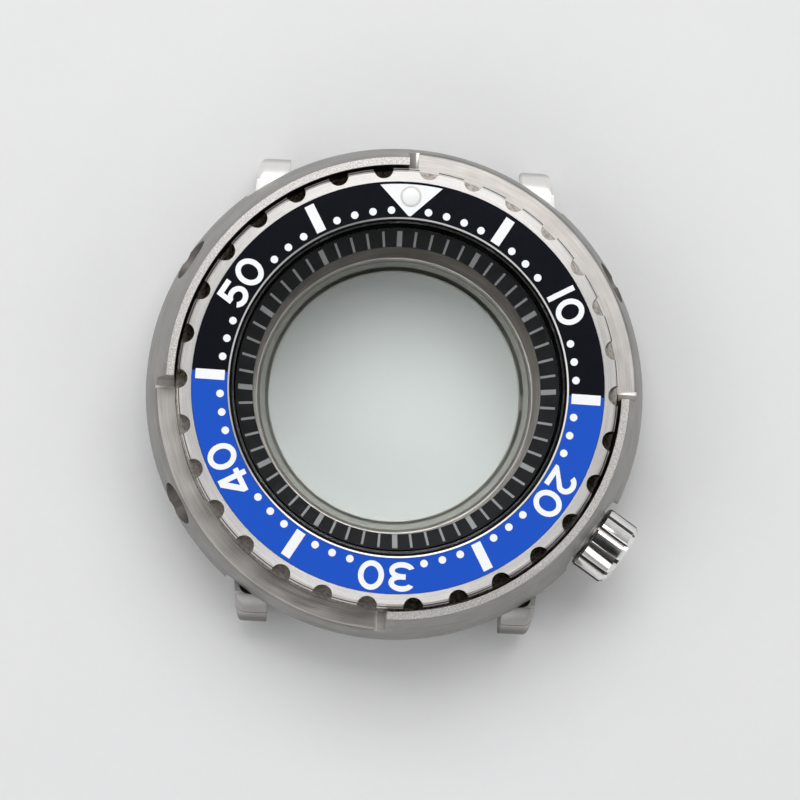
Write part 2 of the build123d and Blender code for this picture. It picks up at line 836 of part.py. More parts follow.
# Crown: a grooved cap with a threaded cavity, and a hub that slides in the tube's bore
hub_start = tube_bore_start + hub_start_gap
hub_bore_end = cavity_floor - hub_roof
crown_outline = [
    (crown_heel, cavity_radius),
    (crown_heel, crown_radius - crown_heel_bevel),
    (crown_heel + crown_heel_bevel, crown_radius),
    (crown_end - crown_end_bevel, crown_radius),
    (crown_end, crown_radius - crown_end_bevel),
    (crown_end, 0),
    (hub_bore_end, 0),
    (hub_bore_end, hub_bore_radius),
    (hub_start + hub_lip, hub_bore_radius),
    (hub_start + hub_lip, stem_radius + running_gap),
    (hub_start, stem_radius + running_gap),
    (hub_start, hub_radius),
    (cavity_floor, hub_radius),
    (cavity_floor, cavity_radius),
]
with BuildPart() as crown:
    revolve(crown_section(crown_outline), axis=crown_axis)
    with BuildSketch(facing_out(crown_angle, crown_heel - overrun, crown_height)):
        with PolarLocations(crown_radius, groove_count):
            Rectangle(2 * groove_depth, groove_width)
    extrude(amount=crown_end - crown_heel + 2 * overrun, mode=Mode.SUBTRACT)
crown.part.label = "crown"
export_step(crown.part, "parts/crown.step")

# Crown washer: it is squeezed against the end of the tube when the crown is screwed down
with BuildPart() as crown_washer:
    revolve(
        crown_section(
            [
                (cavity_floor - washer_thickness, hub_radius + snug_gap),
                (cavity_floor - washer_thickness, cavity_radius - snug_gap),
                (cavity_floor, cavity_radius - snug_gap),
                (cavity_floor, hub_radius + snug_gap),
            ]
        ),
        axis=crown_axis,
    )
crown_washer.part.label = "crown_washer"
export_step(crown_washer.part, "parts/crown_washer.step")

# Crown gasket: a ring round the hub, which slides in the tube's bore
gasket_start = hub_start + crown_gasket_length
with BuildPart() as crown_gasket:
    revolve(
        crown_section(
            [
                (gasket_start, hub_radius + snug_gap),
                (gasket_start, tube_bore_radius - running_gap),
                (gasket_start + crown_gasket_length, tube_bore_radius - running_gap),
                (gasket_start + crown_gasket_length, hub_radius + snug_gap),
            ]
        ),
        axis=crown_axis,
    )
crown_gasket.part.label = "crown_gasket"
export_step(crown_gasket.part, "parts/crown_gasket.step")

# Crown post: it turns with the crown and takes the movement's stem in its tapped inner end
crown_travel = crown_turns * crown_thread_pitch
head_start = hub_start + hub_lip + crown_travel + running_gap
head_end = head_start + stem_head_length
post_outline = [
    (stem_inner_end, stem_thread_radius),
    (stem_inner_end, stem_radius),
    (head_start, stem_radius),
    (head_start, stem_head_radius),
    (head_end, stem_head_radius),
    (head_end, 0),
    (stem_inner_end + stem_thread_depth, 0),
    (stem_inner_end + stem_thread_depth, stem_thread_radius),
]
with BuildPart() as crown_post:
    revolve(crown_section(post_outline), axis=crown_axis)
crown_post.part.label = "crown_post"
export_step(crown_post.part, "parts/crown_post.step")

# Crown spring: it is squeezed between the post's head and the end of the hub's bore
spring_room = hub_bore_end - head_end
spring_reach = spring_room - 2 * spring_wire_radius - 2 * snug_gap
spring_coil_radius = hub_bore_radius - spring_wire_radius - running_gap
coil_start = facing_out(crown_angle, head_end + spring_wire_radius + snug_gap, crown_height)
with BuildPart() as crown_spring:
    with BuildLine() as coil:
        Helix(
            pitch=spring_reach / spring_coils,
            height=spring_reach,
            radius=spring_coil_radius,
            center=coil_start.origin,
            direction=crown_out,
        )
    with BuildSketch(Plane(origin=coil.line @ 0, x_dir=crown_out, z_dir=coil.line % 0)):
        RegularPolygon(spring_wire_radius, wire_sides)
    sweep(is_frenet=True)
crown_spring.part.label = "crown_spring"
export_step(crown_spring.part, "parts/crown_spring.step")
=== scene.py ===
# %% [markdown]
# # An empty diver's watch case
#
# This lesson dresses the solid model of a watch case that has no movement, dial or hands yet.
# The case lies on its back on a pale floor, and the camera looks almost straight down on it.
# Lengths are metres, the origin is the centre of the dial seat, +Z goes up through the crystal,
# +X points to 3 o'clock and +Y to 12 o'clock. The solid model gives every piece its place, so
# this script only adds what a solid model leaves out: print, edges, finishes, light and camera.

# %% Load the solid model
import bmesh
import bpy
from math import cos, pi, radians, sin, sqrt
from mathutils import Matrix, Vector
from mathutils.geometry import tessellate_polygon


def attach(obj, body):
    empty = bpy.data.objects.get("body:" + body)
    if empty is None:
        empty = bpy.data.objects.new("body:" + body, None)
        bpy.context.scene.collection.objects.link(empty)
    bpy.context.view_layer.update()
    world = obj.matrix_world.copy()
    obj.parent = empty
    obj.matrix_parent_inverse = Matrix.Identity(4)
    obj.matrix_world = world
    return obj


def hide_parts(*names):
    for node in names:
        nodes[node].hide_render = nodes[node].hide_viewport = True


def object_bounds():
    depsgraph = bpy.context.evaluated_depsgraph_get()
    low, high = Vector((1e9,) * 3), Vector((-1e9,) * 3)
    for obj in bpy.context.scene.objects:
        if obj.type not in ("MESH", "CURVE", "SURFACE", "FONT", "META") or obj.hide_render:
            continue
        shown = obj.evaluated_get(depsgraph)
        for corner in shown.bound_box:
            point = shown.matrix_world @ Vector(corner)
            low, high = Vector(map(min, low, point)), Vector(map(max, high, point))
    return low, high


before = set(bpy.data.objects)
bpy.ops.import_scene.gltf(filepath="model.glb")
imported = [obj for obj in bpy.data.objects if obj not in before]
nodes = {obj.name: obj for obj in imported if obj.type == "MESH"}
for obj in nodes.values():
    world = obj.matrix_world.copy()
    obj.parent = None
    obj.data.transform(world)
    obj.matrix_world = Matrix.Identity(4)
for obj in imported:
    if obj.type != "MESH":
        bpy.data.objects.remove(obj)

bounds_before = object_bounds()
MM = 0.001
print("pieces of the solid model:", len(nodes))

# %% [markdown]
# ## The camera
#
# A long lens hides nothing here: the rings of the case stay nearly concentric, but the camera
# leans about four degrees, so the inner wall of the movement bore shows more on one side.
# The place and the lens were worked out from where each ring's centre appears in the picture.
# A camera could also be aimed with a Track To constraint, but one matrix says it exactly.

# %% Camera
PICTURE_WIDTH = 800
FOCAL_PIXELS = 3106.0
CAMERA_DISTANCE = 285 * MM
AIM_HEIGHT = 5.28 * MM
OFFSET_RIGHT = -0.145 * MM
OFFSET_UP = 1.195 * MM
SENSOR_WIDTH = 36.0
LEAN_BACK, LEAN_SIDE, ROLL = radians(-4.1), radians(2.2), radians(-2.9)

scene = bpy.context.scene
camera_data = bpy.data.cameras.new("camera")
camera = bpy.data.objects.new("camera", camera_data)
scene.collection.objects.link(camera)
camera_data.sensor_width = SENSOR_WIDTH
camera_data.lens = FOCAL_PIXELS * SENSOR_WIDTH / PICTURE_WIDTH
camera_data.clip_start = 0.01
leans = ((LEAN_BACK, "X"), (LEAN_SIDE, "Y"), (ROLL, "Z"))
back, side, roll = (Matrix.Rotation(angle, 3, axis) for angle, axis in leans)
seen = back @ side @ roll
camera.location = seen.transposed() @ Vector((-OFFSET_RIGHT, -OFFSET_UP, CAMERA_DISTANCE))
camera.location.z += AIM_HEIGHT
camera.rotation_euler = seen.transposed().to_euler()
scene.camera = camera
print("lens", round(camera_data.lens, 1), "mm, camera at", [round(v, 4) for v in camera.location])

# %% [markdown]
# ## Wires and finishes
#
# Every finish below is a small network of shader nodes. Written out node by node, that is long
# and hard to read, so one class wraps a socket and turns plain arithmetic into Math nodes, one
# adds any other node, and one holds a material while it is being made. A number that stays the
# same over the whole surface is set on the shader itself.

# %% A socket that does arithmetic
def plug(tree, place, value):
    """Links a wire to a socket, or sets the socket to a number or colour."""
    if isinstance(value, Wire):
        tree.links.new(value.socket, place)
    else:
        place.default_value = value


class Wire:
    """An output socket. Arithmetic on it adds Math nodes to its tree."""

    def __init__(self, tree, socket):
        self.tree, self.socket = tree, socket

    def math(self, operation, *values):
        """The result of one Math node on wires or numbers."""
        node = self.tree.nodes.new("ShaderNodeMath")
        node.operation = operation
        for place, value in zip(node.inputs, values):
            plug(self.tree, place, value)
        return Wire(self.tree, node.outputs[0])

    def __add__(self, other):
        return self.math("ADD", self, other)

    __radd__ = __add__

    def __sub__(self, other):
        return self.math("SUBTRACT", self, other)

    def __rsub__(self, other):
        return self.math("SUBTRACT", other, self)

    def __mul__(self, other):
        return self.math("MULTIPLY", self, other)

    __rmul__ = __mul__

    def __truediv__(self, other):
        return self.math("DIVIDE", self, other)

    def __rtruediv__(self, other):
        return self.math("DIVIDE", other, self)

    def __pow__(self, other):
        return self.math("POWER", self, other)

    def __gt__(self, other):
        return self.math("GREATER_THAN", self, other)

    def __lt__(self, other):
        return self.math("LESS_THAN", self, other)

    def __abs__(self):
        return self.math("ABSOLUTE", self)

    def held(self):
        """The same value, kept between 0 and 1."""
        return self.math("MINIMUM", self.math("MAXIMUM", self, 0.0), 1.0)


# %% Any other node
class Network:
    """A node tree, with one way to add a node: its type, its settings, then its sockets."""

    def __init__(self, tree):
        self.tree = tree

    def node(self, kind, settings=None, sockets=None, output=0):
        node = self.tree.nodes.new(kind)
        for setting, value in (settings or {}).items():
            setattr(node, setting, value)
        for place, value in (sockets or {}).items():
            plug(self.tree, node.inputs[place], value)
        return Wire(self.tree, node.outputs[output])


# %% A material while it is being made
def socket_name(words):
    """A socket's name in Blender, from a Python name such as base_color."""
    return words.replace("_", " ").title().replace("Ior", "IOR")


class Finish(Network):
    """A material: its node tree and its Principled shader."""

    def __init__(self, name, **uniform):
        self.material = bpy.data.materials.new(name)
        self.material.use_nodes = True
        super().__init__(self.material.node_tree)
        self.shader = self.tree.nodes["Principled BSDF"]
        for words, value in uniform.items():
            self.shader.inputs[socket_name(words)].default_value = value

    def drive(self, **values):
        """Links wires to the Principled shader's sockets."""
        for words, value in values.items():
            plug(self.tree, self.shader.inputs[socket_name(words)], value)

    def mix(self, share, first, second):
        """A colour between two colours."""
        return self.node("ShaderNodeMix", {"data_type": "RGBA"}, {0: share, 6: first, 7: second}, 2)

    def zoned(self, colour, *zones):
        """A colour with zones laid over it, each a mask and the colour inside it."""
        for mask, inside in zones:
            colour = self.mix(mask, colour, inside)
        return colour

    def place(self):
        """The point on the piece, as three wires in millimetres."""
        point = self.node("ShaderNodeTexCoord", output="Object")
        parts = [self.node("ShaderNodeSeparateXYZ", None, {0: point}, axis) for axis in "XYZ"]
        return [part * 1000.0 for part in parts]

    def grain(self, x, y, z, w=0.0, detail=2.0):
        """Noise between about 0.3 and 0.7, read at a point given by four wires or numbers."""
        vector = self.node("ShaderNodeCombineXYZ", None, {0: x, 1: y, 2: z})
        settings = {"noise_dimensions": "4D"}
        sockets = {"Vector": vector, "W": w, "Scale": 1.0, "Detail": detail, "Roughness": 0.6}
        return self.node("ShaderNodeTexNoise", settings, sockets)

    def bump(self, height, strength, distance):
        """A surface normal that follows a height, over a distance in millimetres."""
        sockets = {"Strength": strength, "Distance": distance * MM, "Height": height}
        return self.node("ShaderNodeBump", None, sockets)


print("a finish can be driven by plain expressions, such as 1 - mask * 0.5")

# %% [markdown]
# ## Steel
#
# The case body, shroud, bezel and back are one stainless steel, finished in different ways.
# Brushing leaves lines that run round the axis, because the piece turned against the abrasive.
# They could be painted on a texture, but a noise that is fine across the radius and long round
# the axis gives the same lines at any size, and it follows the piece when the bezel turns.
# Each piece has zones with their own tone, told apart by height and radius: grit-blasted faces
# sparkle, and brushed faces carry fine lines. Some tones are painted light and shade. The shroud's
# brushed outer wall is painted darker, as painted shade for the dark surroundings it mirrors. Gaps,
# notches, screw holes, the pocket and the crown's grooves are painted dark as painted shade. The
# deck under the bezel keeps real tool marks under brown tones that are painted light and shade. The
# case body is painted paler and darker by side. The zones could be separate faces with a material
# each, but then each finish would stop in a hard line where the facets do, and it would have to be
# chosen again whenever the model changes.

# %% Steel that is finished zone by zone
class Steel(Finish):
    """A steel finish with the fields that its zones are made of."""

    def __init__(self, name, **uniform):
        super().__init__(name, metallic=1.0, **uniform)
        self.x, self.y, self.z = self.place()
        self.radius = (self.x * self.x + self.y * self.y) ** 0.5
        self.cloud = self.grain(self.x * 0.35, self.y * 0.35, self.z * 0.35)

    def grit(self, size):
        """The fine grain that blasting or a satin wheel leaves."""
        return self.grain(self.x * size, self.y * size, self.z * size, detail=3.0)

    def near_line(self, angle, height, reach):
        """1 within a distance of a line that runs outwards at an angle and a height."""
        aside = self.x * -sin(radians(angle)) + self.y * cos(radians(angle))
        ahead = self.x * cos(radians(angle)) + self.y * sin(radians(angle))
        rise = self.z - height
        return ((aside * aside + rise * rise) ** 0.5 < reach) * (ahead > 0.0)

    def lines(self, across=9.0, along=5.0):
        """Brushing, fine across the radius and long round the axis."""
        rim_x, rim_y = self.x / self.radius * along, self.y / self.radius * along
        return self.grain(self.radius * across, self.z * across, rim_x, rim_y)

    def tone(self, field, dark, pale, gain=2.5):
        """A colour that follows a noise field, from dark to pale."""
        return self.mix(((field - 0.5) * gain + 0.5).held(), (*dark, 1), (*pale, 1))


# %% Shroud: where its zones are
RIM_HEIGHT, STEP_HEIGHT, STEP_REACH = 5.25, 1.0, 0.04
INNER_WALL_RADIUS, INNER_WALL_TOP = 20.66, 4.75
FILLET_WIDTH, FILLET_LOW, FILLET_TOP = 1.1, 1.04, 4.9
SCREW_ANGLES, SCREW_HEIGHT, SCREW_REACH = (30, 150, 210), -1.4, 2.12

steel = Steel("shroud_steel")
rim = steel.z > RIM_HEIGHT
low_quarter = (steel.x * steel.y) > 0.0
step = (abs(steel.z - STEP_HEIGHT) < STEP_REACH) * low_quarter
# The shroud's inner wall beside the bezel is painted near black, as painted shade in the narrow
# gap.
shaded_inner_wall = (steel.radius < INNER_WALL_RADIUS) * (steel.z < INNER_WALL_TOP) * (1 - step)
# The fillets at the step ends get a darker tone: painted shade that damps their highlight.
step_end = ((abs(steel.x) < FILLET_WIDTH) + (abs(steel.y) < FILLET_WIDTH)).held()
shaded_fillet = step_end * (steel.z > FILLET_LOW) * (steel.z < FILLET_TOP)
# Round the screw holes the wall is painted dark, as painted shade in the recesses.
screw_lines = [steel.near_line(angle, SCREW_HEIGHT, SCREW_REACH) for angle in SCREW_ANGLES]
holes = (screw_lines[0] + screw_lines[1] + screw_lines[2]).held()
print("screw holes at", SCREW_ANGLES, "degrees")

# %% Shroud: blasted rim, brushed steps, a wall darkened by painted shade
blast, lines = steel.grit(7.0), steel.lines()
# The outer wall's darker tone is painted shade, for the dark surroundings that the wall mirrors.
wall = steel.tone(lines * 0.7 + steel.cloud * 0.3, (0.22, 0.215, 0.21), (0.43, 0.42, 0.405))
brushed = steel.tone(lines * 0.6 + steel.cloud * 0.4, (0.56, 0.53, 0.50), (0.83, 0.79, 0.75))
blasted = steel.tone(blast, (0.50, 0.48, 0.46), (0.92, 0.89, 0.86), 3.0)
fillet_shade_tone = steel.tone(steel.cloud, (0.30, 0.285, 0.27), (0.42, 0.405, 0.385))
steel.drive(
    base_color=steel.zoned(
        wall, (step, brushed), (rim, blasted), (shaded_fillet, fillet_shade_tone),
        (shaded_inner_wall, (0.040, 0.034, 0.028, 1)), (holes, (0.15, 0.14, 0.13, 1))),
    roughness=(lines - 0.5) * 0.25 + 0.50 - (rim + step) * 0.08 + shaded_fillet * 0.12,
    normal=steel.bump(lines * (1 - rim) + blast * (rim * 2.0 + 0.5), 0.5, 0.012),
)
shroud_steel = steel.material
print("shroud finish:", len(steel.tree.nodes), "nodes")

# %% [markdown]
# The bezel's flat land is brushed in circles. Each fine groove spreads the light across itself,
# so the land is brightest where the grooves lie square to the lamp beyond twelve o'clock, and
# darker at three and nine. A painted streak could look the same, but it would turn with the
# bezel, while the real one stays with the lamp. The shader's anisotropy does that. By default it
# stretches a highlight along the circle, so a rotation of a quarter turn stretches it across.

# %% Bezel: a bright land brushed in circles
LAND_HEIGHT, SLOPE_LOW, SLOPE_RADIUS = 5.27, 4.86, 19.0
SCALLOP_INNER, SCALLOP_OUTER, SCALLOP_TOP = 18.9, 20.2, 5.1
LIP_INNER = 15.53

steel = Steel("bezel_steel", anisotropic=0.65, anisotropic_rotation=0.25)
land = steel.z > LAND_HEIGHT
slope = (steel.z > SLOPE_LOW) * (1 - land) * (steel.radius > SLOPE_RADIUS)
# The scallops' walls are painted dark, as painted shade in the notches.
scallop = (steel.radius > SCALLOP_INNER) * (steel.radius < SCALLOP_OUTER) * (steel.z < SCALLOP_TOP)
blast, lines = steel.grit(8.0), steel.lines(12.0, 4.0)
wall = steel.tone(lines * 0.7 + steel.cloud * 0.3, (0.34, 0.325, 0.31), (0.60, 0.58, 0.56))
bright = steel.tone(lines * 0.6 + blast * 0.4, (0.69, 0.67, 0.65), (0.89, 0.87, 0.85))
steel.drive(
    base_color=steel.zoned(
        wall, ((land + slope * 0.85).held(), bright), (scallop, (0.13, 0.115, 0.10, 1)),
        # Inside the lip the bezel is painted near black, as painted shade between the bezel and the
        # crystal.
        (steel.radius < LIP_INNER, (0.012, 0.012, 0.012, 1))),
    roughness=(lines - 0.5) * 0.2 + 0.40 + land * 0.05,
    normal=steel.bump(lines + blast * 0.4, 0.55, 0.020),
)
bezel_steel = steel.material
print("bezel zones: land, slope, scallops and lip")

# %% [markdown]
# The case body has satin lugs, a plain turned bore, and a deck under the bezel that keeps its
# milling marks. The lugs are paler and the bore is darker at twelve o'clock than at six. The lamps
# give only a part of that, so the rest is painted light and shade, by side. The deck's tones are
# painted light and shade by quarter and by side, the pocket at six o'clock is painted dark as
# painted shade, and the lugs' tips fade to painted shade. Four materials could do it too, but they
# would part in straight seams, while a mask can also fade, as it does at the lugs' tips.

# %% Case body: where its zones are
BORE_RADIUS, BORE_TOP = 14.6, 0.02
DECK_HEIGHT, DECK_RADIUS = 1.2, 17.5
POCKET_HEIGHT, POCKET_RADIUS, FLAT_REACH = -3.3, 16.0, 0.03
TIP_START, TIP_FADE = 21.3, 0.5

steel = Steel("case_steel")
bore = (steel.radius < BORE_RADIUS) * (steel.z < BORE_TOP)
upper_side = steel.y > 0.0
deck = (abs(steel.z - DECK_HEIGHT) < FLAT_REACH) * (steel.radius > DECK_RADIUS)
low_quarter = (steel.x * steel.y) > 0.0
# The pocket at six o'clock is painted dark, as painted shade in the recess.
pocket = (abs(steel.z - POCKET_HEIGHT) < FLAT_REACH) * (steel.radius > POCKET_RADIUS)
# Towards their tips the lugs are painted darker, as painted shade where the end rolls down.
tip = ((abs(steel.y) - TIP_START) / TIP_FADE).held()
print("lug tips darken from", TIP_START, "mm outwards")

# %% Case body: satin lugs, a grey-brown bore, a deck with tool marks, painted light and shade by side
lines, tool_marks, satin = steel.lines(8.0, 4.0), steel.lines(5.0, 60.0), steel.grit(6.0)
lug_field = satin * 0.4 + steel.cloud * 0.6
# The lugs at twelve are painted paler and those at six darker: painted light and shade by side.
painted_lit_lug = steel.tone(lug_field, (0.80, 0.785, 0.765), (0.95, 0.935, 0.915))
painted_shaded_lug = steel.tone(lug_field, (0.36, 0.35, 0.34), (0.50, 0.49, 0.475))
upper_lug = steel.mix(tip, painted_lit_lug, (0.52, 0.51, 0.50, 1))
lower_lug = steel.mix(tip, painted_shaded_lug, (0.20, 0.19, 0.18, 1))
bore_field = lines * 0.5 + steel.cloud * 0.5
# The bore is painted darker at twelve and paler at six: painted shade and light by side.
upper_bore = steel.tone(bore_field, (0.26, 0.225, 0.195), (0.44, 0.395, 0.35))
lower_bore = steel.tone(bore_field, (0.46, 0.465, 0.44), (0.64, 0.65, 0.615))
# The deck's tones are painted light and shade, by quarter and by side; its tool marks are real.
milled_tone_painted_by_side = steel.mix(upper_side, (0.62, 0.57, 0.52, 1), (0.58, 0.54, 0.50, 1))
milled_dark_painted_by_side = steel.mix(upper_side, (0.38, 0.345, 0.31, 1), (0.34, 0.31, 0.28, 1))
deck_tone_painted_by_quarter = steel.mix(low_quarter, (0.70, 0.61, 0.51, 1), milled_tone_painted_by_side)
deck_dark_painted_by_quarter = steel.mix(low_quarter, (0.26, 0.215, 0.165, 1), milled_dark_painted_by_side)
deck_marks_with_painted_light = steel.mix(((tool_marks - 0.5) * 4 + 0.5).held(), deck_dark_painted_by_quarter, deck_tone_painted_by_quarter)
steel.drive(
    base_color=steel.zoned(
        steel.mix(upper_side, lower_lug, upper_lug),
        (bore, steel.mix(upper_side, lower_bore, upper_bore)), (deck, deck_marks_with_painted_light),
        (pocket * (1 - upper_side), (0.12, 0.11, 0.10, 1))),
    roughness=(satin - 0.5) * 0.15 + 0.46 + (bore + deck) * 0.06,
    normal=steel.bump(satin * 0.6 + lines * (bore + deck), 0.35, 0.006),
)
case_steel = steel.material
print("case finish:", len(steel.tree.nodes), "nodes")

# %% [markdown]
# The back was turned on a lathe, so its lines run round the axis as well. From above only its
# plate shows, down in the bore, round the window. It could wear the case body's finish, but it
# has no zones and is a little smoother, so a short network of its own is easier to read.

# %% Back: brushed all over
steel = Steel("back_steel")
lines = steel.lines(5.0, 3.0)
field = lines * 0.7 + steel.cloud * 0.3
steel.drive(
    base_color=steel.tone(field, (0.40, 0.375, 0.35), (0.66, 0.635, 0.60)),
    roughness=(lines - 0.5) * 0.22 + 0.36,
    normal=steel.bump(lines, 0.4, 0.010),
)
back_steel = steel.material
print("back finish:", len(steel.tree.nodes), "nodes")

# %% [markdown]
# ## Polished pieces
#
# Screws, the pip's cup, the crown and its tube are polished on a wheel. What tells polished steel
# from a perfect mirror is a slow cloudiness and very fine hairlines, so one function makes both
# from noise, and each piece only gives its colour and its roughness. A plain smooth metal would
# be quicker to make, but under large soft lamps it looks like grey plastic.

# %% Polished steel, spring steel
def polished(name, colour, rough):
    """A polished metal with slow clouds and fine hairlines."""
    finish = Finish(name, metallic=1.0)
    x, y, z = finish.place()
    cloud = finish.grain(x * 2.0, y * 2.0, z * 2.0)
    hair = finish.grain(x * 0.8, y * 22.0, z * 22.0)
    darker = tuple(c * 0.86 for c in colour)
    finish.drive(
        base_color=finish.mix(((cloud - 0.3) * 2.2).held(), (*darker, 1), (*colour, 1)),
        roughness=(cloud - 0.5) * 0.08 + (hair - 0.5) * 0.06 + rough,
        normal=finish.bump(hair, 0.10, 0.002),
    )
    return finish.material


tube_steel = polished("tube_steel", (0.62, 0.61, 0.59), 0.42)
screw_steel = polished("screw_steel", (0.70, 0.69, 0.67), 0.20)
cup_steel = polished("cup_steel", (0.80, 0.79, 0.77), 0.38)
spring_steel = polished("spring_steel", (0.62, 0.62, 0.61), 0.25)
print("polished finishes:", len([tube_steel, screw_steel, cup_steel, spring_steel]))

# %% Crown: polished lands, grooves darkened by painted shade
CROWN_HEIGHT, CROWN_ANGLE = -2.3, radians(-33.2)
GROOVE_REACH, CROWN_FACE = 3.04, 0.45

crown_out = Vector((cos(CROWN_ANGLE), sin(CROWN_ANGLE), 0))
crown_points = [nodes["crown"].matrix_world @ v.co for v in nodes["crown"].data.vertices]
crown_end = max(point.dot(crown_out) for point in crown_points) / MM
finish = Finish("crown_steel", metallic=1.0)
x, y, z = finish.place()
ahead = x * crown_out.x + y * crown_out.y
aside = y * crown_out.x - x * crown_out.y
rise = z - CROWN_HEIGHT
# The grooves are painted darker, as painted shade in the hollows.
groove = ((aside * aside + rise * rise) ** 0.5 < GROOVE_REACH) * (ahead < crown_end - CROWN_FACE)
cloud = finish.grain(x * 1.4, y * 1.4, z * 1.4)
bright = finish.mix(((cloud - 0.3) * 2.2).held(), (0.80, 0.79, 0.77, 1), (0.92, 0.91, 0.89, 1))
finish.drive(
    base_color=finish.mix(groove, bright, (0.30, 0.28, 0.265, 1)),
    roughness=(cloud - 0.5) * 0.08 + 0.13 + groove * 0.2,
    normal=finish.bump(cloud, 0.10, 0.003),
)
crown_steel = finish.material
print("crown ends", round(crown_end, 2), "mm from the centre line")

# %% [markdown]
# ## Enamel, print and the chapter ring
#
# The insert is an anodised or enamelled aluminium ring, black over the upper half and blue over
# the lower. The colours meet on a straight line just above the bars at 15 and 45. It could be two
# half rings, but the real one has no seam. A mask worked out from the piece's own coordinates
# colours it, so the colours turn with the bezel.

# %% Insert enamel
BEZEL_TURN = -0.86
BLACK = (0.0065, 0.0075, 0.011, 1)
BLUE = (0.018, 0.096, 0.580, 1)
SPLIT_HEIGHT, SPLIT_FADE = 0.3, 0.04

finish = Finish("insert_enamel", coat_weight=0.4, coat_roughness=0.03)
x, y, z = finish.place()
height = y * cos(radians(BEZEL_TURN)) - x * sin(radians(BEZEL_TURN))
upper = ((height - SPLIT_HEIGHT) / SPLIT_FADE + 0.5).held()
peel = finish.grain(x * 1.6, y * 1.6, z * 1.6)
finish.drive(
    base_color=finish.mix(upper, BLUE, BLACK),
    roughness=(peel - 0.5) * 0.08 + 0.14,
    normal=finish.bump(peel, 0.05, 0.004),
)
insert_enamel = finish.material
print("enamel: black above", SPLIT_HEIGHT, "mm, blue below")

# %% [markdown]
# Paint, rubber, nylon and glue have no lines, only a grain: each is a colour that varies a little,
# finely and broadly, with a roughness and a relief from the same grain. They could each have a
# network of their own, but one function makes them all, and each finish only gives its numbers.

# %% Plain finishes with a grain of their own
def grained(name, colour, change, rough, scale, depth, **uniform):
    """A finish whose colour, roughness and relief follow one grain."""
    finish = Finish(name, **uniform)
    x, y, z = finish.place()
    fine = finish.grain(x * scale, y * scale, z * scale)
    wide = finish.grain(x * scale / 12, y * scale / 12, z * scale / 12)
    dark = tuple(c * (1 - change) for c in colour)
    pale = tuple(min(1, c * (1 + change)) for c in colour)
    finish.drive(
        base_color=finish.mix((fine * 0.8 + wide * 0.8 - 0.3).held(), (*dark, 1), (*pale, 1)),
        roughness=(fine - 0.5) * 0.2 + rough,
        normal=finish.bump(fine, 0.25, depth),
    )
    return finish.material


white_print = grained("white_print", (0.92, 0.93, 0.94), 0.04, 0.45, 9.0, 0.003)
chapter_black = grained(
    "chapter_black", (0.0105, 0.0105, 0.012), 0.25, 0.55, 12.0, 0.004, specular_ior_level=0.2)
chapter_print = grained("chapter_print", (0.300, 0.300, 0.305), 0.08, 0.50, 9.0, 0.003)
black_rubber = grained(
    "black_rubber", (0.010, 0.010, 0.011), 0.20, 0.75, 6.0, 0.010, specular_ior_level=0.2)
white_nylon = grained("white_nylon", (0.36, 0.37, 0.34), 0.06, 0.55, 4.0, 0.006)
clear_glue = grained("clear_glue", (0.72, 0.70, 0.62), 0.10, 0.40, 3.0, 0.010)
lume_paint = grained("lume_paint", (0.90, 0.90, 0.90), 0.05, 0.42, 7.0, 0.008)
GRAINED = [
    white_print, chapter_black, chapter_print, black_rubber, white_nylon, clear_glue, lume_paint]
print("grained finishes:", len(GRAINED))

# %% [markdown]
# ## Glass
#
# Light that has to refract through two panes reaches the floor of the window only as noise, so
# lamp rays pass straight through: Light Path tells the shader which rays ask for a shadow.
# The camera still sees real glass, with its reflections and its faint green edge, and the crystal's
# outer rim is painted near black, as painted shade beside the bezel.

# %% Crystal and back glass
CRYSTAL_EDGE, BACK_GLASS_EDGE = 14.96, 12.35


def glass(name, tint, edge, edge_tint_and_shade):
    """Clear glass, with another colour outside a radius in millimetres, which on the crystal is
    near black, as painted shade.
    """
    finish = Finish(
        name, transmission_weight=1.0, roughness=0.0, ior=1.5, specular_ior_level=0.25)
    x, y, z = finish.place()
    rim = (x * x + y * y) ** 0.5 > edge
    finish.drive(base_color=finish.mix(rim, (*tint, 1), (*edge_tint_and_shade, 1)))
    clear = finish.node("ShaderNodeBsdfTransparent", None, {0: (0.97, 0.98, 0.975, 1)})
    lamp_ray = finish.node("ShaderNodeLightPath", output="Is Shadow Ray")
    surface = Wire(finish.tree, finish.shader.outputs[0])
    both = finish.node("ShaderNodeMixShader", None, {0: lamp_ray, 1: surface, 2: clear})
    end = finish.tree.nodes["Material Output"].inputs["Surface"]
    plug(finish.tree, end, both)
    return finish.material


# The crystal's rim is near black: painted shade beside the bezel's lip.
crystal_glass = glass("crystal_glass", (0.985, 0.992, 0.99), CRYSTAL_EDGE, (0.004, 0.004, 0.004))
back_glass = glass("back_glass", (0.96, 0.98, 0.97), BACK_GLASS_EDGE, (0.50, 0.54, 0.50))
print("glass edges darken from", CRYSTAL_EDGE, "and", BACK_GLASS_EDGE, "mm")

# %% [markdown]
# ## Dressing the solid model
#
# The solid model's pieces, all but the crown, are shown with their own meshes, because their
# shapes are already right, and a copy of each would only have to be kept in step with it. Each
# one gets its finish through the material slots of its object.

